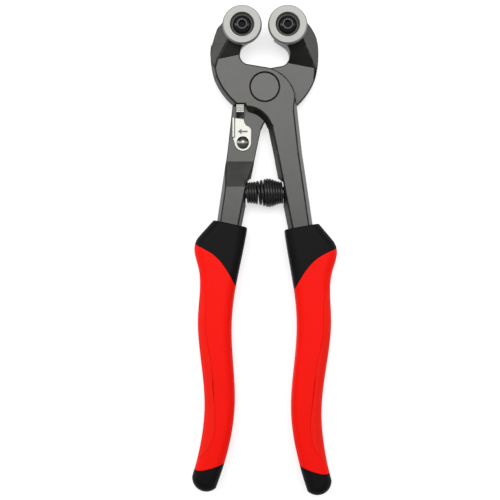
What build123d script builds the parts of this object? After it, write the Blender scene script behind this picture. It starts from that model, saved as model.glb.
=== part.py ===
from build123d import *
import os
from math import asin, atan, cos, degrees, radians, sin, tan

# Mosaic glass nippers: two forged levers riveted at a lap joint, two round cutting wheels,
# a swinging handle lock, a barrel-shaped return spring and two-colour handle grips.
# Millimetres. The tool lies flat: +Z to the front, +Y towards the wheels, +X to the right,
# origin on the pivot axis at the back face of the rear lever.
# Lever outlines are drawn with the handle arm on +X; side = -1 mirrors them to the other lever.

os.makedirs("parts", exist_ok=True)

# ---- driving dimensions ----
PLATE = 6.5              # thickness of each lever at the lap joint
LAP_GAP = 0.1            # running gap between the two levers
ARM_RISE = 5.5           # how far an arm stands past the lap plane beyond its ramp
ARM_DRAFT = 21.0         # forging draft of the arms' sides, degrees
NECK_WALL_HEIGHT = 6.2   # drafted inner wall of the front lever's neck
ARM_RAMP_FOOT_Y = -41.6  # where the arm's ramp leaves the lap plane
ARM_RAMP_TOP_Y = -56.3
SEAT_Z = 16.0            # front face of the jaw tips, on which the wheels sit
JAW_BEVEL = 1.1          # how far the jaw's raised end leans in from its foot
TANG_HALF_WIDTH = 4.5
TANG_THICKNESS = 7.0

WHEEL_REACH = 36.0       # pivot axis to wheel axis
WHEEL_ANGLE = 20.7       # each wheel axis off the centre line, degrees
WHEEL_RADIUS = 11.0
WHEEL_THICKNESS = 5.0
WHEEL_GAP = 0.05         # behind the wheel, and under the screw head
WHEEL_RECESS_RADIUS = 6.85
WHEEL_RECESS_DEPTH = 2.4
SCREW_RADIUS = 3.0
SCREW_HEAD_RADIUS = 5.25
SCREW_HEAD_HEIGHT = 3.3
SCREW_LENGTH = 10.0
SCREW_HOLE_DEPTH = 8.0
WHEEL_RIM_BEVEL = 0.75   # across the wheel's face
WHEEL_RIM_BEVEL_Z = 1.5  # along its axis
SOCKET_ACROSS_FLATS = 4.0
RUNNING_FIT = 0.05       # radial clearance of every turning fit
SEATED_FIT = 0.02        # radial clearance where one piece is fixed in another

RIVET_HEAD_RADIUS = 8.0
RIVET_HEAD_HEIGHT = 2.5
RIVET_SHANK_RADIUS = 5.5
RIVET_GROOVE = 0.12      # visible groove round the rivet head

LATCH_PIVOT = (-12.4, -31.0)
LATCH_SHEET = 1.2
LATCH_END_RADIUS = 4.7
LATCH_RIVET_RADIUS = 3.55
LATCH_RIVET_DOME = 2.1
LATCH_SHANK_RADIUS = 2.0
LATCH_SHANK_DEPTH = 4.7  # how far the shank reaches into the lever
SHANK_HOLE_DEPTH = 5.0
LATCH_RIVET_RIM = 0.3    # straight edge under the rivet's dome
LATCH_FLANGE_HEIGHT = 3.9
LATCH_NECK_Y = -17.3     # where the riser leaves the plate
TAB_TOP_Z = 12.4
TAB_LEFT, TAB_RIGHT = -16.1, -11.7
TAB_END_Y = -9.95
TAB_RIBS = 4
TAB_RIB_PITCH = 0.9
TAB_RIB_GROOVE = (0.4, 0.25)  # width and depth

SPRING_Y = -59.5
SPRING_HALF_LENGTH = 10.7
SPRING_END_RADIUS = 6.0
SPRING_MID_RADIUS = 8.5
SPRING_WIRE = 1.3
SPRING_COILS = 12
SEAT_POCKET_RADIUS = 7.6
PEG_RADIUS = 3.4
PEG_LENGTH = 4.5
PEG_TAIL_RADIUS = 2.0
PEG_TAIL_LENGTH = 5.0

GRIP_THICKNESS = 20.0
GRIP_ROUND = 5.5
MOUTH_ROUND = 1.2        # softer edge round the collar's mouth
RIGHT_GRIP_SHIFT = (4.15, -1.0)  # the right grip sits a little lower on its arm
RIGHT_GRIP_TURN = -1.9           # and its end leans towards the centre line, degrees

# ---- levels that follow from them ----
LAP_Z = PLATE
REAR_FACE_Z = LAP_Z - LAP_GAP / 2      # lap face of the rear lever
FRONT_BACK_Z = LAP_Z + LAP_GAP / 2     # lap face of the front lever
FRONT_FACE_Z = 2 * PLATE
WHEEL_X = WHEEL_REACH * sin(radians(WHEEL_ANGLE))
WHEEL_Y = WHEEL_REACH * cos(radians(WHEEL_ANGLE))
WHEEL_BACK_Z = SEAT_Z + WHEEL_GAP
WHEEL_FRONT_Z = WHEEL_BACK_Z + WHEEL_THICKNESS
HEAD_Z = WHEEL_FRONT_Z - WHEEL_RECESS_DEPTH + WHEEL_GAP
NECK_WALL_WIDTH = NECK_WALL_HEIGHT * tan(radians(ARM_DRAFT))
ARM_RAMP_SLOPE = ARM_RISE / (ARM_RAMP_FOOT_Y - ARM_RAMP_TOP_Y)
LATCH_Z = REAR_FACE_Z + LAP_GAP
LATCH_RIVET_Z = LATCH_Z + LATCH_SHEET + WHEEL_GAP
POCKET_X = SPRING_HALF_LENGTH + LAP_GAP
SPRING_AXIS = Axis((0, SPRING_Y, LAP_Z), (1, 0, 0))
UP = (0, 0, 1)
DOWN = (0, 0, -1)


# ---- outlines shared by the two levers ----
def at(side, x, y):
    """A point of the outline, with the handle arm on the given side."""
    return (side * x, y)


def outline(side, z, *edges):
    """Closed sketch at height z from lines (two points) and arcs (three points).

    The edges run anticlockwise on either side, so that a drafted extrusion rises.
    """
    with BuildSketch(Plane.XY.offset(z)) as sketch:
        with BuildLine():
            for points in edges[::-side]:
                placed = [at(side, x, y) for x, y in points[::-side]]
                if len(placed) == 3:
                    ThreePointArc(*placed)
                else:
                    Line(*placed)
        make_face()
    return sketch.sketch


def head_outline(side, z):
    """Jaw and lap disc, down to where the arm begins; the jaw is opposite the arm."""
    return outline(
        side,
        z,
        [(-5.4, 38.0), (-5.4, 27.8)],
        [(-5.4, 27.8), (-10.9, 24.1)],
        [(-10.9, 24.1), (-13.25, 21.61), (-14.1, 18.3)],
        [(-14.1, 18.3), (-13.08, 15.07), (-10.4, 13.0)],
        [(-10.4, 13.0), (-1.4, 11.5)],
        [(-1.4, 11.5), (10.6, 6.5), (17.3, -4.4)],
        [(17.3, -4.4), (16.2, -16.0)],
        [(16.2, -16.0), (6.5, -27.0)],
        [(6.5, -27.0), (1.55, -22.8)],
        [(1.55, -22.8), (-1.9, -17.0), (-8.0, -13.8)],
        [(-8.0, -13.8), (-18.9, -9.4)],
        [(-18.9, -9.4), (-25.0, -2.3), (-28.6, 4.5)],
        [(-28.6, 4.5), (-30.5, 13.5), (-30.7, 22.5)],
        [(-30.7, 22.5), (-27.4, 33.1), (-20.5, 39.6)],
        [(-20.5, 39.6), (-13.0, 40.9), (-5.4, 38.0)],
    )


def jaw_outline(side, z):
    """The part of the jaw beyond the lap, which rises to the wheel seat."""
    return outline(
        side,
        z,
        [(-5.4, 38.0), (-5.4, 27.8)],
        [(-5.4, 27.8), (-10.9, 24.1)],
        [(-10.9, 24.1), (-13.25, 21.61), (-14.1, 18.3)],
        [(-14.1, 18.3), (-13.08, 15.07), (-10.4, 13.0)],
        [(-10.4, 13.0), (-10.4, 9.0)],
        [(-10.4, 9.0), (-29.7, 9.0)],
        [(-29.7, 9.0), (-30.7, 22.5)],
        [(-30.7, 22.5), (-27.4, 33.1), (-20.5, 39.6)],
        [(-20.5, 39.6), (-13.0, 40.9), (-5.4, 38.0)],
    )


def arm_outline(side, z):
    """The handle arm at the forging's parting plane, from the lap disc into the grip."""
    return outline(
        side,
        z,
        [(4.0, -13.0), (18.0, -5.0)],
        [(18.0, -5.0), (21.5, -36.5)],
        [(21.5, -36.5), (27.4, -77.0)],
        [(27.4, -77.0), (29.0, -98.0)],
        [(29.0, -98.0), (17.0, -98.0)],
        [(17.0, -98.0), (12.6, -77.0)],
        [(12.6, -77.0), (4.6, -36.5)],
        [(4.6, -36.5), (1.7, -22.8)],
        [(1.7, -22.8), (4.0, -13.0)],
    )


def tang_outline(side, z):
    """The narrow tail of the arm that runs down inside the grip."""
    centre = [(23.4, -94), (27.0, -113), (27.7, -140), (25.8, -165), (25.2, -185), (28.3, -208)]
    left = [at(side, x - TANG_HALF_WIDTH, y) for x, y in centre]
    right = [at(side, x + TANG_HALF_WIDTH, y) for x, y in centre]
    with BuildSketch(Plane.XY.offset(z)) as sketch:
        with BuildLine():
            Spline(*left)
            Line(left[-1], right[-1])
            Spline(*right)
            Line(right[0], left[0])
        make_face()
    return sketch.sketch


def ramp_plane(low, low_z, uphill, slope):
    """Plane through a point of the ramp's foot, rising by slope along the uphill direction."""
    normal = (-slope * uphill[0], -slope * uphill[1], 1)
    return Plane(origin=(low[0], low[1], low_z), z_dir=normal)


def arm_block(side, parting_z, direction):
    """Drafted half of an arm on one side of the parting plane, cut by its ramp."""
    with BuildPart() as block:
        extrude(arm_outline(side, parting_z), ARM_RISE, dir=(0, 0, direction), taper=ARM_DRAFT)
        ramp = Plane(
            origin=(0, ARM_RAMP_FOOT_Y, parting_z),
            z_dir=(0, ARM_RAMP_SLOPE, direction),
        )
        split(bisect_by=ramp, keep=Keep.BOTTOM)
    return block.part


def jaw_block(side, face_z, foot, uphill, ridge_top):
    """The jaw's raised end: a ramp from the lever's face up to the wheel seat."""
    along = (ridge_top[0] - foot[0]) * uphill[0] + (ridge_top[1] - foot[1]) * uphill[1]
    slope = (SEAT_Z - face_z) / along
    with BuildPart() as block:
        draft = degrees(atan(JAW_BEVEL / (SEAT_Z - face_z)))
        extrude(jaw_outline(side, face_z), SEAT_Z - face_z, dir=UP, taper=draft)
        split(bisect_by=ramp_plane(foot, face_z, uphill, slope), keep=Keep.BOTTOM)
    return block.part


# ---- grip outlines, drawn for a grip on the given side ----
def grip_outline(side, z):
    """Whole grip: collar with its thumb guard, waisted body and rounded end.

    The collar runs on past its mouth, where grip_blank cuts it off square.
    """
    corners = [(8.8, -71.3), (23.5, -69.2), (37.2, -84.4), (41.0, -220.0), (27.6, -226.7)]
    top_in, top_out, guard, end_out, end_in = [at(side, x, y) for x, y in corners]
    outer = [(39.8, -91.0), (37.4, -102.6), (36.6, -111), (37.8, -130), (36.3, -153), (34.1, -181)]
    inner = [(22.9, -213), (19.5, -200), (17.0, -181), (18.2, -153), (18.8, -137), (17.9, -123)]
    with BuildSketch(Plane.XY.offset(z)) as sketch:
        with BuildLine():
            Line(top_in, top_out)
            Line(top_out, guard)
            Spline(guard, *[at(side, x, y) for x, y in outer], at(side, 36.2, -200.7), end_out)
            ThreePointArc(end_out, at(side, 36.4, -227.9), end_in)
            Spline(end_in, *[at(side, x, y) for x, y in inner], at(side, 15.7, -109.5), top_in)
        make_face()
    return sketch.sketch


def region(side, curve, far_corners):
    """Area between a dividing curve and the corners beyond it, for cutting a grip into pieces."""
    curve = [at(side, x, y) for x, y in curve]
    far_corners = [at(side, x, y) for x, y in far_corners]
    with BuildSketch(Plane.XY.offset(LAP_Z - GRIP_THICKNESS)) as sketch:
        with BuildLine():
            Spline(*curve)
            Polyline(curve[-1], *far_corners, curve[0])
        make_face()
    return extrude(sketch.sketch, 2 * GRIP_THICKNESS, dir=UP, mode=Mode.PRIVATE)


def barrel_point(share, depth):
    """Point at a share of the spring's length, some depth below the barrel's outer surface."""
    x = SPRING_HALF_LENGTH * (2 * share - 1)
    swell = (SPRING_MID_RADIUS - SPRING_END_RADIUS) * (1 - (x / SPRING_HALF_LENGTH) ** 2)
    return (x, SPRING_END_RADIUS + swell - depth)


def collar_region(side):
    curve = [(46, -85), (39.5, -88.8), (28.4, -95.1), (23.1, -100.9), (17.3, -110.9), (13, -120)]
    return region(side, curve, [(0, -120), (0, -60), (46, -60)])


def cap_region(side):
    curve = [(46, -214.5), (40, -215.9), (36, -216), (31, -215), (24, -212.7), (18, -210)]
    return region(side, curve, [(18, -240), (46, -240)])


def pad_region(side):
    top = [(38, -109.5), (35.1, -113), (33.4, -135)]
    bottom = [(30.4, -154), (28.4, -176), (28.6, -196), (39, -211)]
    return region(side, top + bottom, [(52, -211), (52, -109.5)])


def grip_blank(side):
    """The whole grip with its edges rounded, before it is divided into pieces."""
    with BuildPart() as blank:
        extrude(grip_outline(side, LAP_Z - GRIP_THICKNESS / 2), GRIP_THICKNESS, dir=UP)
        rims = blank.edges().group_by(Axis.Z)
        fillet(rims[0] + rims[-1], radius=GRIP_ROUND)
        mouth = Plane(origin=(side * 10.2, -79.2, 0), z_dir=(-side * 0.2092, 0.9779, 0))
        split(bisect_by=mouth, keep=Keep.BOTTOM)
        mouth_face = blank.faces().sort_by(Axis.Y)[-1]
        fillet(mouth_face.edges(), radius=MOUTH_ROUND)
    return blank.part


front_jaw = jaw_block(1, FRONT_FACE_Z, (-26.8, 15.4), (-0.2065, 0.9784), (-20.8, 26.1))
front_arm_back = arm_block(1, FRONT_BACK_Z, -1)
rear_jaw = jaw_block(-1, REAR_FACE_Z, (28.9, 11.4), (0.1905, 0.9817), (21.2, 26.7))
rear_arm_front = arm_block(-1, REAR_FACE_Z, 1)

# ---- front lever: left jaw and right arm ----
with BuildPart() as front_lever:
    extrude(head_outline(1, FRONT_BACK_Z), FRONT_FACE_Z - FRONT_BACK_Z, dir=UP)
    outer_jaw = (
        front_lever.edges()
        .group_by(Axis.Z)[-1]
        .filter_by(lambda e: e.center().X < -17 and e.center().Y < 23)
    )
    chamfer(outer_jaw, length=4.0, length2=1.9)
    # the inner wall of the neck leans like the arm that it runs into
    neck = (
        front_lever.edges()
        .group_by(Axis.Z)[-1]
        .filter_by(lambda e: -8 < e.center().X < 6.5 and e.center().Y < -12)
    )
    neck_face = front_lever.faces().sort_by(Axis.Z)[-1]
    chamfer(neck, length=NECK_WALL_WIDTH, length2=NECK_WALL_HEIGHT, reference=neck_face)
    extrude(
        arm_outline(1, FRONT_BACK_Z), FRONT_FACE_Z - FRONT_BACK_Z, dir=UP, taper=ARM_DRAFT
    )
    add(front_arm_back)
    add(front_jaw)
    extrude(tang_outline(1, LAP_Z - TANG_THICKNESS / 2), TANG_THICKNESS, dir=UP)
    # outer flank of the jaw, leaning in to the wheel seat
    flank = Plane(origin=(-26.8, 15.4, FRONT_FACE_Z), z_dir=(-0.703, 0.204, 0.680))
    split(bisect_by=flank, keep=Keep.BOTTOM)
    # pivot bore with a recess for the rivet's head
    with Locations((0, 0, FRONT_FACE_Z)):
        CounterBoreHole(
            radius=RIVET_SHANK_RADIUS + RUNNING_FIT,
            counter_bore_radius=RIVET_HEAD_RADIUS + RIVET_GROOVE,
            counter_bore_depth=RIVET_HEAD_HEIGHT + WHEEL_GAP,
        )
    # screw hole in the wheel seat
    with Locations((-WHEEL_X, WHEEL_Y, SEAT_Z)):
        Hole(radius=SCREW_RADIUS + SEATED_FIT, depth=SCREW_HOLE_DEPTH)
    # pocket for the spring's end, and the hole for its peg
    with BuildSketch(Plane(origin=(0, SPRING_Y, LAP_Z), z_dir=(1, 0, 0))):
        Circle(SEAT_POCKET_RADIUS)
    extrude(amount=POCKET_X, mode=Mode.SUBTRACT)
    with BuildSketch(Plane(origin=(0, SPRING_Y, LAP_Z), z_dir=(1, 0, 0))):
        Circle(PEG_TAIL_RADIUS + SEATED_FIT)
    extrude(amount=POCKET_X + PEG_TAIL_LENGTH, mode=Mode.SUBTRACT)
    # shallow notch that the latch tab stands in
    with BuildSketch(Plane.XY.offset(FRONT_BACK_Z)):
        Polygon((-16.9, -9.75), (-10.9, -9.75), (-9.0, -14.5), (-16.9, -14.5), align=None)
    extrude(amount=PLATE, mode=Mode.SUBTRACT)

front_lever.part.label = "front_lever"
export_step(front_lever.part, "parts/front_lever.step")

# ---- rear lever: right jaw and left arm ----
with BuildPart() as rear_lever:
    extrude(head_outline(-1, 0), REAR_FACE_Z, dir=UP)
    extrude(arm_outline(-1, REAR_FACE_Z), REAR_FACE_Z, dir=DOWN, taper=ARM_DRAFT)
    add(rear_arm_front)
    add(rear_jaw)
    extrude(tang_outline(-1, LAP_Z - TANG_THICKNESS / 2), TANG_THICKNESS, dir=UP)
    flank = Plane(origin=(28.9, 11.7, LAP_Z), z_dir=(0.734, -0.052, 0.677))
    split(bisect_by=flank, keep=Keep.BOTTOM)
    with Locations(Plane.XY.rotated((180, 0, 0))):
        CounterBoreHole(
            radius=RIVET_SHANK_RADIUS + SEATED_FIT,
            counter_bore_radius=RIVET_HEAD_RADIUS + SEATED_FIT,
            counter_bore_depth=RIVET_HEAD_HEIGHT,
        )
    with Locations((WHEEL_X, WHEEL_Y, SEAT_Z)):
        Hole(radius=SCREW_RADIUS + SEATED_FIT, depth=SCREW_HOLE_DEPTH)
    with BuildSketch(Plane(origin=(0, SPRING_Y, LAP_Z), z_dir=(-1, 0, 0))):
        Circle(SEAT_POCKET_RADIUS)
    extrude(amount=POCKET_X, mode=Mode.SUBTRACT)
    with BuildSketch(Plane(origin=(0, SPRING_Y, LAP_Z), z_dir=(-1, 0, 0))):
        Circle(PEG_TAIL_RADIUS + SEATED_FIT)
    extrude(amount=POCKET_X + PEG_TAIL_LENGTH, mode=Mode.SUBTRACT)
    # hole for the latch's rivet
    with Locations((*LATCH_PIVOT, REAR_FACE_Z)):
        Hole(radius=LATCH_SHANK_RADIUS + SEATED_FIT, depth=SHANK_HOLE_DEPTH)

rear_lever.part.label = "rear_lever"
export_step(rear_lever.part, "parts/rear_lever.step")

# ---- pivot rivet: one shank, a flush head at each face ----
with BuildPart() as pivot_rivet:
    with BuildSketch():
        Circle(RIVET_SHANK_RADIUS)
    extrude(amount=FRONT_FACE_Z)
    for head_z in (0, FRONT_FACE_Z - RIVET_HEAD_HEIGHT):
        with BuildSketch(Plane.XY.offset(head_z)):
            Circle(RIVET_HEAD_RADIUS)
        extrude(amount=RIVET_HEAD_HEIGHT)
    rims = pivot_rivet.edges().filter_by(GeomType.CIRCLE).group_by(Axis.Z)
    chamfer(rims[0] + rims[-1], length=0.3)

pivot_rivet.part.label = "pivot_rivet"
export_step(pivot_rivet.part, "parts/pivot_rivet.step")

# ---- cutting wheels and the screws that clamp them ----
for name, x in (("left", -WHEEL_X), ("right", WHEEL_X)):
    axis_plane = Plane(origin=(x, WHEEL_Y, 0), x_dir=(1, 0, 0), z_dir=(0, -1, 0))
    wheel_axis = Axis((x, WHEEL_Y, 0), (0, 0, 1))
    bore = SCREW_RADIUS + RUNNING_FIT
    recess_z = WHEEL_FRONT_Z - WHEEL_RECESS_DEPTH
    with BuildPart() as wheel:
        with BuildSketch(axis_plane):
            Polygon(
                (bore, WHEEL_BACK_Z),
                (WHEEL_RADIUS - WHEEL_RIM_BEVEL, WHEEL_BACK_Z),
                (WHEEL_RADIUS, WHEEL_BACK_Z + WHEEL_RIM_BEVEL_Z),
                (WHEEL_RADIUS, WHEEL_FRONT_Z - WHEEL_RIM_BEVEL_Z),
                (WHEEL_RADIUS - WHEEL_RIM_BEVEL, WHEEL_FRONT_Z),
                (WHEEL_RECESS_RADIUS, WHEEL_FRONT_Z),
                (WHEEL_RECESS_RADIUS - 1.1, recess_z),
                (bore, recess_z),
                align=None,
            )
        revolve(axis=wheel_axis)
    wheel.part.label = f"{name}_cutting_wheel"
    export_step(wheel.part, f"parts/{name}_cutting_wheel.step")

    with BuildPart() as screw:
        with BuildSketch(axis_plane):
            with BuildLine():
                Polyline(
                    (0, HEAD_Z + SCREW_HEAD_HEIGHT),
                    (0, HEAD_Z - SCREW_LENGTH),
                    (SCREW_RADIUS - 0.5, HEAD_Z - SCREW_LENGTH),
                    (SCREW_RADIUS, HEAD_Z - SCREW_LENGTH + 0.5),
                    (SCREW_RADIUS, HEAD_Z),
                    (SCREW_HEAD_RADIUS, HEAD_Z),
                    (SCREW_HEAD_RADIUS, HEAD_Z + 0.5),
                )
                ThreePointArc(
                    (SCREW_HEAD_RADIUS, HEAD_Z + 0.5),
                    (SCREW_HEAD_RADIUS - 1.0, HEAD_Z + 2.2),
                    (SCREW_RADIUS - 0.2, HEAD_Z + SCREW_HEAD_HEIGHT),
                )
                Line(
                    (SCREW_RADIUS - 0.2, HEAD_Z + SCREW_HEAD_HEIGHT),
                    (0, HEAD_Z + SCREW_HEAD_HEIGHT),
                )
            make_face()
        revolve(axis=wheel_axis)
        with BuildSketch(Plane(origin=(x, WHEEL_Y, HEAD_Z + SCREW_HEAD_HEIGHT))):
            RegularPolygon(radius=SOCKET_ACROSS_FLATS / 2, side_count=6, major_radius=False)
        extrude(amount=-2.0, mode=Mode.SUBTRACT)
    screw.part.label = f"{name}_wheel_screw"
    export_step(screw.part, f"parts/{name}_wheel_screw.step")

# ---- return spring: the barrel that its closely wound coils fill ----
with BuildPart() as return_spring:
    with BuildSketch(Plane(origin=(0, SPRING_Y, LAP_Z))):
        with BuildLine():
            grooves = [barrel_point(i / SPRING_COILS, SPRING_WIRE / 2) for i in range(SPRING_COILS + 1)]
            crests = [barrel_point((i + 0.5) / SPRING_COILS, 0) for i in range(SPRING_COILS)]
            inner = [barrel_point(i / SPRING_COILS, SPRING_WIRE) for i in range(SPRING_COILS + 1)]
            for start, crest, end in zip(grooves, crests, grooves[1:]):
                ThreePointArc(start, crest, end)
            Polyline(grooves[0], *inner, grooves[-1])
        make_face()
    revolve(axis=SPRING_AXIS)

return_spring.part.label = "return_spring"
export_step(return_spring.part, "parts/return_spring.step")

# ---- stepped pegs inside the spring's ends ----
for name, direction in (("left", -1), ("right", 1)):
    with BuildPart() as peg:
        floor_plane = Plane(origin=(direction * POCKET_X, SPRING_Y, LAP_Z), z_dir=(direction, 0, 0))
        with BuildSketch(floor_plane):
            Circle(PEG_TAIL_RADIUS)
        extrude(amount=PEG_TAIL_LENGTH - 0.3)
        with BuildSketch(floor_plane):
            Circle(PEG_RADIUS)
        extrude(amount=-PEG_LENGTH)
        tip = peg.faces().sort_by(Axis.X)[0 if direction > 0 else -1]
        chamfer(tip.edges(), length=0.6)
    peg.part.label = f"{name}_spring_peg"
    export_step(peg.part, f"parts/{name}_spring_peg.step")

# ---- latch: flat plate, upturned thumb flange, raised ribbed tab ----
with BuildPart() as latch_plate:
    px, py = LATCH_PIVOT
    with BuildSketch(Plane.XY.offset(LATCH_Z)):
        with BuildLine():
            ThreePointArc(
                (px - LATCH_END_RADIUS, py),
                (px, py - LATCH_END_RADIUS),
                (px + LATCH_END_RADIUS, py),
            )
            Line((px + LATCH_END_RADIUS, py), (-7.6, -24.2))
            ThreePointArc((-7.6, -24.2), (-8.0, -22.9), (-9.1, -21.9))
            ThreePointArc((-9.1, -21.9), (-11.0, -20.4), (TAB_RIGHT, -18.4))
            Line((TAB_RIGHT, -18.4), (TAB_RIGHT, -16.6))
            Line((TAB_RIGHT, -16.6), (-16.3, -16.6))
            Line((-16.3, -16.6), (-16.3, -17.1))
            Line((-16.3, -17.1), (-18.3, -17.1))
            Line((-18.3, -17.1), (-18.3, -28.1))
            Line((-18.3, -28.1), (px - LATCH_END_RADIUS, py))
        make_face()
    extrude(amount=LATCH_SHEET)
    # thumb flange along the outer edge
    with BuildSketch(Plane.XY.offset(LATCH_Z)):
        Polygon((-18.3, -28.1), (-17.25, -28.1), (-17.25, -17.1), (-18.3, -17.1), align=None)
    extrude(amount=LATCH_FLANGE_HEIGHT)
    # riser and tab, drawn in side view and drawn out across the neck
    with BuildSketch(Plane(origin=(TAB_LEFT, 0, 0), x_dir=(0, 1, 0), z_dir=(1, 0, 0))):
        Polygon(
            (LATCH_NECK_Y, LATCH_Z),
            (-16.6, LATCH_Z),
            (-13.5, TAB_TOP_Z - LATCH_SHEET),
            (TAB_END_Y, TAB_TOP_Z - LATCH_SHEET),
            (TAB_END_Y, TAB_TOP_Z),
            (-14.2, TAB_TOP_Z),
            (LATCH_NECK_Y, LATCH_Z + LATCH_SHEET),
            align=None,
        )
    extrude(amount=TAB_RIGHT - TAB_LEFT)
    # grip ribs across the tab
    groove_width, groove_depth = TAB_RIB_GROOVE
    for i in range(TAB_RIBS):
        with BuildSketch(Plane(origin=(TAB_LEFT, 0, 0), x_dir=(0, 1, 0), z_dir=(1, 0, 0))):
            with Locations((-13.4 + TAB_RIB_PITCH * i, TAB_TOP_Z)):
                Rectangle(groove_width, 2 * groove_depth)
        extrude(amount=TAB_RIGHT - TAB_LEFT, mode=Mode.SUBTRACT)
    with Locations((px, py, LATCH_Z)):
        Cylinder(LATCH_SHANK_RADIUS + RUNNING_FIT, 4 * LATCH_SHEET, mode=Mode.SUBTRACT)

latch_plate.part.label = "latch_plate"
export_step(latch_plate.part, "parts/latch_plate.step")

# ---- domed rivet on which the latch swings ----
with BuildPart() as latch_rivet:
    with BuildSketch(Plane(origin=(*LATCH_PIVOT, 0), x_dir=(1, 0, 0), z_dir=(0, -1, 0))):
        with BuildLine():
            Polyline(
                (0, LATCH_RIVET_Z + LATCH_RIVET_DOME),
                (0, REAR_FACE_Z - LATCH_SHANK_DEPTH),
                (LATCH_SHANK_RADIUS, REAR_FACE_Z - LATCH_SHANK_DEPTH),
                (LATCH_SHANK_RADIUS, LATCH_RIVET_Z),
                (LATCH_RIVET_RADIUS, LATCH_RIVET_Z),
                (LATCH_RIVET_RADIUS, LATCH_RIVET_Z + LATCH_RIVET_RIM),
            )
            dome = LATCH_RIVET_DOME - LATCH_RIVET_RIM
            ball = (LATCH_RIVET_RADIUS ** 2 + dome ** 2) / (2 * dome)
            CenterArc(
                (0, LATCH_RIVET_Z + LATCH_RIVET_DOME - ball),
                ball,
                90,
                -degrees(asin(LATCH_RIVET_RADIUS / ball)),
            )
        make_face()
    revolve(axis=Axis((*LATCH_PIVOT, 0), (0, 0, 1)))

latch_rivet.part.label = "latch_rivet"
export_step(latch_rivet.part, "parts/latch_rivet.step")

# ---- handle grips, each divided into collar, body, palm pad and end cap ----
right_place = Location((*RIGHT_GRIP_SHIFT, 0), (0, 0, RIGHT_GRIP_TURN))
for name, side, lever, place in (
    ("left", -1, rear_lever, Location()),
    ("right", 1, front_lever, right_place),
):
    blank = grip_blank(side)
    collar_zone, cap_zone, pad_zone = collar_region(side), cap_region(side), pad_region(side)
    with BuildPart() as collar:
        add(blank)
        add(collar_zone, mode=Mode.INTERSECT)
    with BuildPart() as end_cap:
        add(blank)
        add(cap_zone, mode=Mode.INTERSECT)
    with BuildPart() as palm_pad:
        add(blank)
        add(pad_zone, mode=Mode.INTERSECT)
    with BuildPart() as body:
        add(blank)
        add([collar_zone, cap_zone, pad_zone], mode=Mode.SUBTRACT)
    for piece_name, piece in (
        ("grip_collar", collar),
        ("grip_body", body),
        ("palm_pad", palm_pad),
        ("grip_end_cap", end_cap),
    ):
        with BuildPart() as fitted:
            add(piece.part.moved(place))
            add(lever.part, mode=Mode.SUBTRACT)
        fitted.part.label = f"{name}_{piece_name}"
        export_step(fitted.part, f"parts/{name}_{piece_name}.step")
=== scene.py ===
from math import cos, exp, pi, radians, sin

import bmesh
import bpy
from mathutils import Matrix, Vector


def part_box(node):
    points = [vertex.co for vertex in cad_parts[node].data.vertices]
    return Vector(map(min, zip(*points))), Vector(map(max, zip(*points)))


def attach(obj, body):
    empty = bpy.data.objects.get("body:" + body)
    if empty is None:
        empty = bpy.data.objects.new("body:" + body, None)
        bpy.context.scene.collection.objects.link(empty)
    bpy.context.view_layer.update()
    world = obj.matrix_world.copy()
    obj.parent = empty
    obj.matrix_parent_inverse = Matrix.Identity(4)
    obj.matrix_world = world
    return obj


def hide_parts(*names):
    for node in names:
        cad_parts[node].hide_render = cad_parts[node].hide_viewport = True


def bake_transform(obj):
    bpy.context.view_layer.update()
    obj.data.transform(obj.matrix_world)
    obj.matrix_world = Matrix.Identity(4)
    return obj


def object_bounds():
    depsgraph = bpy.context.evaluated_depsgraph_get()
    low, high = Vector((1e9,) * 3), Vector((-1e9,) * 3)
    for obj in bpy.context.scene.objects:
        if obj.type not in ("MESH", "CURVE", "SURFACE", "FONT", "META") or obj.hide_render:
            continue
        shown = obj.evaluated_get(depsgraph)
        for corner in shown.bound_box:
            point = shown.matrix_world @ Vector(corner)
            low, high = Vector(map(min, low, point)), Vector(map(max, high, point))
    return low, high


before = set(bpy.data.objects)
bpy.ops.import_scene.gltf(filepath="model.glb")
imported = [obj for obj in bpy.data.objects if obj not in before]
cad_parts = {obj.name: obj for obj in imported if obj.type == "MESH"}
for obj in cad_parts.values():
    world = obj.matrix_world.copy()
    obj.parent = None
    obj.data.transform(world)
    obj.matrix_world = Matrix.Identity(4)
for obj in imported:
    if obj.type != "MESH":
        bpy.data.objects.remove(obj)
cad_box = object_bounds()
MM = 0.001

# ---- Levers ----
# The two levers are drop forgings, ground flat at the lap joint and coated in a grey
# phosphate. A dark line of painted shade runs along the edges, with rubs of real wear, and
# the jaw's ramp and the drafted walls that face the gap between the arms get painted shade.
FORGE_GREY = (0.036, 0.035, 0.031, 1)
FORGE_DARK = (0.022, 0.021, 0.018, 1)
# painted shade: darker tones for the jaw's ramp and for the drafted walls that face the gap
PAINTED_SHADE_GREY = (0.016, 0.016, 0.013, 1)
PAINTED_SHADE_DARK = (0.007, 0.007, 0.006, 1)
# painted shade: the dark line along the lever edges; EDGE_WORN marks real wear rubbed through it
EDGE_SHADE_GREY = (0.008, 0.008, 0.007, 1)
EDGE_WORN = (0.030, 0.029, 0.026, 1)
LEVER_EDGE = 0.7 * MM
LEVER_EDGE_ANGLE = 24       # degrees; the shallower creases of the ramps stay crisp
CREASE_ANGLE = 15
FLAT_AREA = 20 * MM * MM    # faces larger than this are ground or forged flat
JAW_START_Y = 5 * MM
NECK_START_Y = -12 * MM
UPRIGHT, LEVEL = 0.2, 0.98  # how far up the normal of a leaning face points
FACING = 0.25               # least share of a normal that counts as facing some way


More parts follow.
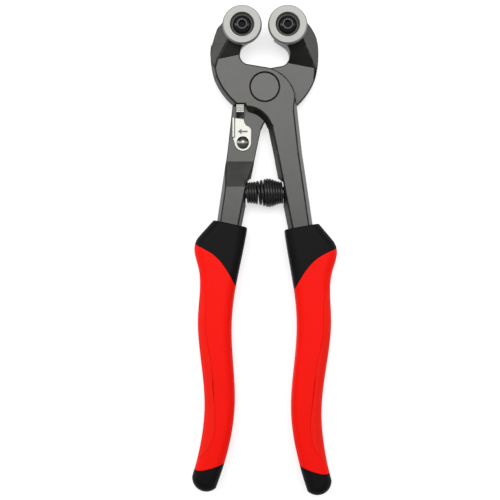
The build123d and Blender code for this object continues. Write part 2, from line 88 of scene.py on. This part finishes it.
class Wire:
    """An output of a material's nodes, which works in sums like a number."""

    def __init__(self, finish, socket):
        self.finish = finish
        self.socket = socket

    def maths(self, operation, *values):
        sockets = dict(enumerate(values))
        return self.finish.node("Math", {"operation": operation}, sockets)

    def __add__(self, other):
        return self.maths("ADD", self, other)

    def __radd__(self, other):
        return self.maths("ADD", other, self)

    def __sub__(self, other):
        return self.maths("SUBTRACT", self, other)

    def __rsub__(self, other):
        return self.maths("SUBTRACT", other, self)

    def __mul__(self, other):
        return self.maths("MULTIPLY", self, other)

    def __rmul__(self, other):
        return self.maths("MULTIPLY", other, self)

    def __truediv__(self, other):
        return self.maths("DIVIDE", self, other)

    def __abs__(self):
        return self.maths("ABSOLUTE", self)

    def __lt__(self, other):
        return self.maths("LESS_THAN", self, other)

    def __gt__(self, other):
        return self.maths("GREATER_THAN", self, other)


class Finish:
    """One surface finish: a material with its shader, and the nodes that vary it."""

    def __init__(self, name, **constants):
        self.material = bpy.data.materials.new(name)
        self.material.use_nodes = True
        self.tree = self.material.node_tree
        self.shader = self.tree.nodes["Principled BSDF"]
        for socket, value in constants.items():
            self.shader.inputs[socket.replace("_", " ")].default_value = value
        self.place = self.node("TexCoord", {}, {}, "Object")

    def node(self, kind, settings, sockets, output=0):
        """Adds a node with its settings, then the values or wires of its sockets."""
        made = self.tree.nodes.new("ShaderNode" + kind)
        for key, value in settings.items():
            if key == "stops":
                self.set_stops(made.color_ramp, value)
            else:
                setattr(made, key, value)
        for key, value in sockets.items():
            self.join(value, made.inputs[key])
        return Wire(self, made.outputs[output])

    def set_stops(self, ramp, stops):
        while len(ramp.elements) < len(stops):
            ramp.elements.new(0.5)
        for element, (position, shade) in zip(ramp.elements, stops):
            element.position = position
            element.color = (shade, shade, shade, 1)

    def join(self, value, socket):
        if isinstance(value, Wire):
            self.tree.links.new(value.socket, socket)
        else:
            socket.default_value = value

    def noise(self, scale, detail=2.0, roughness=0.5, place=None):
        settings = {"noise_dimensions": "3D"}
        sockets = {"Scale": scale, "Detail": detail, "Roughness": roughness}
        return self.node("TexNoise", settings, {"Vector": place or self.place, **sockets})

    def ramp(self, value, *stops):
        return self.node("ValToRGB", {"stops": stops}, {"Fac": value})

    def blend_colours(self, share, first, second):
        settings = {"data_type": "RGBA", "blend_type": "MIX"}
        sockets = {0: share, 6: first, 7: second}
        return self.node("Mix", settings, sockets, 2)

    def axes(self):
        """The three object coordinates of the surface, as wires in metres."""
        settings, sockets = {}, {"Vector": self.place}
        return [self.node("SeparateXYZ", settings, sockets, axis) for axis in range(3)]

    def round_axis(self, x, y):
        """Distance from an upright axis through (x, y), as a wire in metres."""
        flat = self.node("VectorMath", {"operation": "MULTIPLY"}, {0: self.place, 1: (1, 1, 0)})
        offset = self.node("VectorMath", {"operation": "SUBTRACT"}, {0: flat, 1: (x, y, 0)})
        return self.node("VectorMath", {"operation": "LENGTH"}, {0: offset}, 1)

    def bump(self, height, depth, strength=1.0):
        sockets = {"Height": height, "Distance": depth, "Strength": strength}
        self.join(self.node("Bump", {}, sockets), self.shader.inputs["Normal"])

    def paint(self, **wires):
        """Feeds the shader's own sockets, such as Base_Color or Roughness."""
        for socket, wire in wires.items():
            self.join(wire, self.shader.inputs[socket.replace("_", " ")])


def forged_finish(name, shades, specular):
    steel = Finish(name, Specular_IOR_Level=specular)
    mottle = steel.noise(90, 4, 0.6)
    grain = steel.noise(1400, 3, 0.55)
    pits = steel.ramp(steel.noise(520, 2, 0.5), (0.30, 0.0), (0.42, 1.0))
    patches = steel.ramp(mottle, (0.35, 0.0), (0.65, 1.0))
    tone = 0.75 * patches + 0.25 * grain
    tone = tone * (0.85 + 0.15 * pits)
    steel.paint(
        Base_Color=steel.blend_colours(tone, *shades),
        Roughness=0.27 + 0.08 * grain + 0.06 * mottle,
    )
    steel.bump(0.6 * grain + 0.4 * pits, 0.03 * MM, 0.4)
    return steel.material


def shaded_worn_edge_finish():
    # painted shade along the rounded edges, with lighter rubs of real wear
    edge = Finish("shaded_worn_edge", Specular_IOR_Level=0.15)
    rubs = edge.ramp(edge.noise(260, 4, 0.65), (0.50, 0.0), (0.68, 1.0))
    edge.paint(
        Base_Color=edge.blend_colours(rubs, EDGE_SHADE_GREY, EDGE_WORN),
        Roughness=0.34 - 0.08 * rubs,
    )
    return edge.material


def edit_all(piece):
    """Opens one piece for editing with everything on it selected."""
    bpy.ops.object.select_all(action="DESELECT")
    piece.select_set(True)
    bpy.context.view_layer.objects.active = piece
    bpy.ops.object.mode_set(mode="EDIT")
    bpy.ops.mesh.select_all(action="SELECT")


def take_from_frame(node, name):
    """A copy of a frame solid with its loose triangles joined into clean faces."""
    piece = bpy.data.objects.new(name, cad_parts[node].data.copy())
    piece.data.name = name
    bpy.context.scene.collection.objects.link(piece)
    edit_all(piece)
    bpy.ops.mesh.customdata_custom_splitnormals_clear()
    bpy.ops.mesh.remove_doubles(threshold=0.001 * MM)
    bpy.ops.mesh.dissolve_limited(angle_limit=radians(0.3))
    bpy.ops.object.mode_set(mode="OBJECT")
    return piece


def break_edges(piece, width, steepest, slot=0):
    """Rounds the outward edges sharper than an angle; other creases stay crisp."""
    bpy.ops.object.shade_smooth()
    edit_all(piece)
    bpy.ops.mesh.select_mode(type="EDGE")
    bpy.ops.mesh.select_all(action="DESELECT")
    shell = bmesh.from_edit_mesh(piece.data)
    for edge in shell.edges:
        turn = edge.calc_face_angle(0)
        edge.select = edge.is_convex and turn > radians(steepest)
        edge.smooth = edge.select or turn < radians(CREASE_ANGLE)
    bmesh.update_edit_mesh(piece.data)
    bpy.ops.mesh.bevel(
        offset=width, segments=2, affect="EDGES", clamp_overlap=False, material=slot
    )
    bpy.ops.mesh.select_mode(type="VERT")
    bpy.ops.object.mode_set(mode="OBJECT")
    flats = piece.modifiers.new("flats", "WEIGHTED_NORMAL")
    flats.weight = 90
    flats.keep_sharp = True
    bpy.ops.object.modifier_apply(modifier=flats.name)


def keep_flat(piece, area):
    """Gives each large face its own plain normal, right up to its creases."""
    normals = [corner.vector.copy() for corner in piece.data.corner_normals]
    for face in piece.data.polygons:
        if face.area > area:
            for corner in face.loop_indices:
                normals[corner] = face.normal.copy()
    piece.data.normals_split_custom_set(normals)


def coat(piece, *materials):
    piece.data.materials.clear()
    for material in materials:
        piece.data.materials.append(material)


def paint_shade_on_sheltered_faces(lever, inward, slot):
    """Paints shade on the jaw's ramp and on the walls that face the gap, with the darker slot."""
    for face in lever.data.polygons:
        normal, centre = face.normal, face.center
        leans = UPRIGHT < normal.z < LEVEL
        ramp = centre.y > JAW_START_Y and normal.y < -FACING
        wall = centre.y < NECK_START_Y and normal.x * inward > FACING
        if leans and (ramp or wall):
            face.material_index = slot


phosphate = forged_finish("forged_phosphate", (FORGE_DARK, FORGE_GREY), 0.42)
# a darker copy of the phosphate, which paints shade on the ramp and the sheltered walls
painted_shade_skin = forged_finish("painted_shade_skin", (PAINTED_SHADE_DARK, PAINTED_SHADE_GREY), 0.2)
shaded_worn_edge = shaded_worn_edge_finish()
for body, inward in (("front", -1), ("rear", 1)):
    lever = take_from_frame(f"{body}_lever", f"{body}_lever_forging")
    coat(lever, phosphate, shaded_worn_edge, painted_shade_skin)
    paint_shade_on_sheltered_faces(lever, inward, slot=2)
    break_edges(lever, LEVER_EDGE, LEVER_EDGE_ANGLE, slot=1)
    keep_flat(lever, FLAT_AREA)
    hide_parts(f"{body}_lever")
    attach(lever, body)

# ---- Pivot rivet ----
# The rivet is a steel shank with a flush head at each face, upset in its recess and then
# faced off, which leaves fine turning rings round its centre.


def turned_finish(name, centre, shades, metallic, roughness, rim=None, zones=()):
    """Metal faced on a lathe round an upright axis, with its fine rings.

    The rim is (radius, colour) of painted shade outside the face; zones are the same for painted
    shade on steps inside it, from the outside in.
    """
    turned = Finish(name, Metallic=metallic)
    radius = turned.round_axis(*centre)
    ring_noise = {"W": radius, "Scale": 6500, "Detail": 3}
    rings = turned.node("TexNoise", {"noise_dimensions": "1D"}, ring_noise)
    smears = turned.noise(170, 3, 0.6)
    colour = turned.blend_colours(0.55 * rings + 0.45 * smears, *shades)
    if rim:
        colour = turned.blend_colours(radius > rim[0], colour, rim[1])
    for limit, shade in zones:
        colour = turned.blend_colours(radius < limit, colour, shade)
    turned.paint(Base_Color=colour, Roughness=roughness + 0.12 * rings)
    turned.bump(rings, 0.02 * MM, 0.35)
    return turned.material


def refinish(node, material):
    """Gives a frame node its finish, in place of the flat colour it arrives with."""
    coat(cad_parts[node], material)


RIVET_SHADES = ((0.028, 0.027, 0.024, 1), (0.046, 0.045, 0.040, 1))
refinish("pivot_rivet", turned_finish("faced_rivet", (0, 0), RIVET_SHADES, 0.1, 0.32))

# ---- Cutting wheels ----
# Each wheel is a sintered carbide disc, ground on its faces and on the two bevels of its
# rim, with a stepped recess for the screw. The grinding leaves fine rings.
CARBIDE_SHADES = ((0.25, 0.25, 0.24, 1), (0.33, 0.33, 0.315, 1))
# painted shade: the rim bevel and the two steps of the screw recess are coloured darker than the
# face
RIM_BEVEL_SHADE = (10.3 * MM, (0.15, 0.15, 0.145, 1))
RECESS_WALL_SHADE = (6.8 * MM, (0.10, 0.10, 0.095, 1))
RECESS_FLOOR_SHADE = (5.8 * MM, (0.015, 0.015, 0.014, 1))
for side in ("left", "right"):
    low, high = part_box(f"{side}_cutting_wheel")
    centre = (low + high).xy / 2
    steps = (RECESS_WALL_SHADE, RECESS_FLOOR_SHADE)
    carbide = turned_finish(f"{side}_carbide", centre, CARBIDE_SHADES, 0.15, 0.36, RIM_BEVEL_SHADE, steps)
    refinish(f"{side}_cutting_wheel", carbide)

# ---- Wheel screws ----
# Button-head hexagon socket screws, blackened in hot oxide and oiled, so they are deep
# black and glossy with a few bright rubs where the key has turned.
OXIDE_BLACK = (0.005, 0.005, 0.006, 1)
OXIDE_RUBBED = (0.06, 0.06, 0.06, 1)
SOCKET_RADIUS = 2.3 * MM


def black_oxide_finish(name, centre):
    oxide = Finish(name, Specular_IOR_Level=0.2, Coat_Roughness=0.15)
    oil = oxide.noise(350, 3, 0.6)
    # painted shade: inside the hexagon socket the colour stays black without rubs, and it is rough
    # and uncoated so it shows no highlight
    socket = oxide.round_axis(*centre) < SOCKET_RADIUS
    rubs = oxide.ramp(oxide.noise(900, 4, 0.65), (0.62, 0.0), (0.75, 1.0)) * (1 - socket)
    oxide.paint(
        Base_Color=oxide.blend_colours(0.6 * rubs, OXIDE_BLACK, OXIDE_RUBBED),
        Roughness=0.20 + 0.12 * oil + 0.5 * socket,
        Coat_Weight=(0.15 + 0.2 * oil) * (1 - socket),
    )
    oxide.bump(oil, 0.02 * MM, 0.2)
    return oxide.material


for side in ("left", "right"):
    low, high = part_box(f"{side}_wheel_screw")
    oxide = black_oxide_finish(f"{side}_black_oxide", (low + high).xy / 2)
    refinish(f"{side}_wheel_screw", oxide)

# ---- Handle lock ----
# The lock is stamped from sheet, bent up into a thumb flange and a ribbed tab, then bright
# nickel plated. It swings on a domed rivet, and an inked arrow shows which way it locks.
PLATE_EDGE = 0.1 * MM
NICKEL_SHADES = ((0.15, 0.149, 0.138, 1), (0.21, 0.209, 0.195, 1))
# painted shade for the inside of the thumb flange's bend
NICKEL_BEND_SHADE = (0.035, 0.034, 0.030, 1)
BEND_X = -17.0 * MM
BEND_END_Y = -28.1 * MM
# painted shade: the rounded edges of the lock plate are coloured darker than its faces
SHADED_NICKEL_EDGE_TONES = ((0.05, 0.05, 0.045, 1), (0.13, 0.13, 0.12, 1))
ARROW_INK = (0.03, 0.03, 0.028, 1)
ARROW_TIP = (-15.3 * MM, -24.7 * MM)
ARROW_LENGTH = 5.6 * MM
ARROW_HEAD = 2.2 * MM
ARROW_SLOPE = 0.75
ARROW_HALF_SHAFT = 0.5 * MM
BEND_HALF_WIDTH = 0.3 * MM
PLATE_EDGE_ANGLE = 35


def arrow_mask(finish):
    """One inside a small arrow that points to the left, nought outside it."""
    x, y, z = finish.axes()
    along, off = x - ARROW_TIP[0], abs(y - ARROW_TIP[1])
    head = (off < along * ARROW_SLOPE) * (along < ARROW_HEAD)
    shaft = (off < ARROW_HALF_SHAFT) * (along > 0.9 * ARROW_HEAD) * (along < ARROW_LENGTH)
    return finish.node("Math", {"operation": "MAXIMUM"}, {0: head, 1: shaft})


def nickel_finish(name, shades, marked=False):
    nickel = Finish(name, Metallic=1.0)
    stretch = {"Vector": nickel.place, "Scale": (1, 0.08, 1)}
    along = nickel.node("Mapping", {"vector_type": "POINT"}, stretch)
    strokes = nickel.noise(2600, 2, 0.5, along)
    haze = nickel.noise(240, 3, 0.6)
    colour = nickel.blend_colours(haze, *shades)
    if marked:
        colour = nickel.blend_colours(0.9 * arrow_mask(nickel), colour, ARROW_INK)
        # painted shade: a dark line along the inside of the thumb flange, where the sheet is bent
        # up
        x, y, z = nickel.axes()
        bend = (abs(x - BEND_X) < BEND_HALF_WIDTH) * (y > BEND_END_Y)
        colour = nickel.blend_colours(0.8 * bend, colour, NICKEL_BEND_SHADE)
    nickel.paint(Base_Color=colour, Roughness=0.20 + 0.08 * haze + 0.05 * strokes)
    nickel.bump(strokes, 0.01 * MM, 0.08)
    return nickel.material


nickel = nickel_finish("bright_nickel", NICKEL_SHADES)
inked_nickel = nickel_finish("inked_nickel", NICKEL_SHADES, marked=True)
# a darker nickel that paints shade along the plate's rounded edges
shaded_nickel_edge = nickel_finish("shaded_nickel_edge", SHADED_NICKEL_EDGE_TONES)
latch = take_from_frame("latch_plate", "lock_plate")
coat(latch, inked_nickel, shaded_nickel_edge)
break_edges(latch, PLATE_EDGE, PLATE_EDGE_ANGLE, slot=1)
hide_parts("latch_plate")
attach(latch, "latch")
refinish("latch_rivet", nickel)

# ---- Return spring ----
# A barrel-shaped compression spring, wound from round black wire over stepped pegs that
# keep its small end turns in place. The turns near each end lie closer together.
WIRE_RADIUS = 0.74 * MM
TURNS = 12.5
POINTS_PER_TURN = 20
END_RADIUS_SHARE = 0.70     # the barrel's ends, as a share of its widest radius
CLOSED_SHARE = 0.925        # length left for the wire once the slack places are open
SLACK_PLACES = ((-0.34, 0.085), (-0.14, 0.065))
SLACK_SHARPNESS = 40
SWELL_CENTRE, SWELL_WIDTH = 0.16, 0.52
LEAN = 0.35 * MM


def lacquer_finish():
    lacquer = Finish("spring_lacquer", Specular_IOR_Level=0.3)
    dust = lacquer.noise(700, 4, 0.6)
    lacquer.paint(
        Base_Color=lacquer.blend_colours(dust, (0.006, 0.006, 0.007, 1), (0.022, 0.022, 0.023, 1)),
        Roughness=0.20 + 0.14 * dust,
    )
    lacquer.bump(dust, 0.02 * MM, 0.25)
    return lacquer.material


def wind_spring(low, high):
    """The centre line of the wire, as points along the barrel's axis."""
    middle, half = (low + high) / 2, (high.x - low.x) / 2 - WIRE_RADIUS
    widest = (high.z - low.z) / 2 - WIRE_RADIUS
    count = int(TURNS * POINTS_PER_TURN)
    line = []
    for i in range(count + 1):
        share = 2 * i / count - 1
        turn = 2 * pi * i / POINTS_PER_TURN
        # two slack places open between bunches of turns that touch
        slack = sum(
            opening / (1 + exp(-SLACK_SHARPNESS * (share - place)))
            for place, opening in SLACK_PLACES
        )
        along = (share + 1) * CLOSED_SHARE - 1 + slack
        # the barrel swells right of its middle, where the wire bows out most
        swell = exp(-(((share - SWELL_CENTRE) / SWELL_WIDTH) ** 2))
        radius = widest * (END_RADIUS_SHARE + (1 - END_RADIUS_SHARE) * swell)
        lean = LEAN * cos(turn)
        point = (half * along - lean * (1 - share * share), radius * cos(turn), radius * sin(turn))
        line.append(middle + Vector(point))
    return line


low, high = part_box("return_spring")
curve = bpy.data.curves.new("return_coil", "CURVE")
curve.dimensions = "3D"
curve.bevel_depth = WIRE_RADIUS
curve.bevel_resolution = 4
curve.use_fill_caps = True
spline = curve.splines.new("NURBS")
line = wind_spring(low, high)
spline.points.add(len(line) - 1)
for point, place in zip(spline.points, line):
    point.co = (*place, 1)
spline.use_endpoint_u = True
spline.order_u = 4
spline.resolution_u = 2
coil = bpy.data.objects.new("return_coil", curve)
bpy.context.scene.collection.objects.link(coil)
bpy.ops.object.select_all(action="DESELECT")
coil.select_set(True)
bpy.context.view_layer.objects.active = coil
bpy.ops.object.convert(target="MESH")
coil = bpy.context.active_object
bpy.ops.object.shade_smooth_by_angle(angle=radians(40))
coat(coil, lacquer_finish())
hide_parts("return_spring")
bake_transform(coil)

# ---- Spring pegs ----
# Turned steel pegs, pressed into the levers' inner sides; the spring's end turns sit over
# their bevelled noses.


def peg_finish():
    peg = Finish("peg_steel", Metallic=0.7)
    marks = peg.noise(1100, 3, 0.6)
    peg.paint(
        Base_Color=peg.blend_colours(marks, (0.06, 0.06, 0.058, 1), (0.16, 0.16, 0.15, 1)),
        Roughness=0.32 + 0.15 * marks,
    )
    return peg.material


peg_steel = peg_finish()
for side in ("left", "right"):
    refinish(f"{side}_spring_peg", peg_steel)

# ---- Grips ----
# Each grip is moulded over the lever's tang in two colours: a black collar and end cap,
# a red body, and a softer red palm pad along the outer side, with fine seams between.
SEAM = 0.28 * MM
SEAM_ANGLE = 30
PARTING_Z = 6.5 * MM         # where the two halves of the mould meet
PARTING_WIDTH = 0.5 * MM
RED_BODY = ((0.74, 0.0045, 0.0012, 1), (0.85, 0.0060, 0.0020, 1))
RED_PAD = ((0.70, 0.0085, 0.003, 1), (0.81, 0.011, 0.005, 1))
BLACK = ((0.003, 0.003, 0.0035, 1), (0.007, 0.007, 0.0075, 1))


def moulded_finish(name, shades, specular, roughness, grain_depth):
    """Moulded plastic: even colour, fine spark-eroded grain, and a faint parting line."""
    moulded = Finish(name, Specular_IOR_Level=specular)
    grain = moulded.noise(2600, 2, 0.5)
    clouds = moulded.noise(45, 3, 0.55)
    x, y, z = moulded.axes()
    parting = moulded.ramp(abs(z - PARTING_Z) / PARTING_WIDTH, (0.0, 1.0), (0.5, 0.0))
    moulded.paint(
        Base_Color=moulded.blend_colours(0.75 * clouds + 0.25 * grain, *shades),
        Roughness=roughness + 0.10 * grain + 0.08 * clouds,
    )
    moulded.bump(0.7 * grain + 0.9 * parting, grain_depth, 0.5)
    return moulded.material


red_body = moulded_finish("red_body", RED_BODY, 0.08, 0.46, 0.05 * MM)
red_pad = moulded_finish("red_pad", RED_PAD, 0.08, 0.52, 0.07 * MM)
black_rubber = moulded_finish("black_rubber", BLACK, 0.06, 0.40, 0.06 * MM)
GRIP_PIECES = (
    ("grip_collar", "collar", black_rubber, "grip_black"),
    ("grip_body", "sleeve", red_body, "grip_red"),
    ("palm_pad", "pad", red_pad, "pad_red"),
    ("grip_end_cap", "cap", black_rubber, "grip_black"),
)
for side, body in (("left", "rear"), ("right", "front")):
    for node, shape, material, slot in GRIP_PIECES:
        grip = take_from_frame(f"{side}_{node}", f"{side}_{shape}")
        coat(grip, material)
        break_edges(grip, SEAM, SEAM_ANGLE)
        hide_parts(f"{side}_{node}")
        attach(grip, body)

# ---- Studio ----
# A pale seamless table, a broad overhead light with a strip at each side, and a camera
# that looks straight down on the tool.
low, high = cad_box
TABLE_Z = low.z - 0.3 * MM
EYE = Vector((-8.31, -92.1, 606.5)) * MM
VIEW_WIDTH = 285 * MM
VIEW_DISTANCE = 600 * MM


def lamp(name, place, aim, size, power):
    """A square soft light that faces a point."""
    light = bpy.data.lights.new(name, "AREA")
    light.shape = "RECTANGLE"
    light.size, light.size_y = size
    light.energy = power
    stand = bpy.data.objects.new(name, light)
    bpy.context.scene.collection.objects.link(stand)
    stand.location = place
    stand.rotation_euler = (Vector(aim) - Vector(place)).to_track_quat("-Z", "Y").to_euler()


bpy.ops.object.select_all(action="DESELECT")
bpy.ops.mesh.primitive_plane_add(size=6, location=(0, 0, TABLE_Z))
table = bpy.context.active_object
table.name = "table"
paper = Finish("table_paper", Roughness=0.9, Emission_Color=(1, 1, 1, 1), Emission_Strength=0.6)
fibres = paper.noise(400, 3, 0.5)
paper.paint(Base_Color=paper.blend_colours(fibres, (0.52, 0.52, 0.52, 1), (0.56, 0.56, 0.56, 1)))
coat(table, paper.material)

lamp("overhead", (0.0, 0.27, 1.1), (0, 0.27, 0), (0.9, 0.66), 11)
lamp("left_strip", (-0.85, 0.10, 0.45), (0, -0.08, 0), (0.3, 1.2), 4)
lamp("right_strip", (0.85, 0.1, 0.5), (0, -0.08, 0), (0.3, 1.2), 2)

world = bpy.data.worlds.new("studio")
bpy.context.scene.world = world
world.use_nodes = True
world.node_tree.nodes["Background"].inputs["Color"].default_value = (1, 1, 1, 1)
world.node_tree.nodes["Background"].inputs["Strength"].default_value = 0.30

camera = bpy.data.objects.new("camera", bpy.data.cameras.new("camera"))
bpy.context.scene.collection.objects.link(camera)
camera.location = EYE
camera.data.sensor_width = 36
camera.data.lens = camera.data.sensor_width * VIEW_DISTANCE / VIEW_WIDTH
camera.data.clip_start = 0.01
bpy.context.scene.camera = camera
bpy.context.scene.view_settings.view_transform = "Standard"
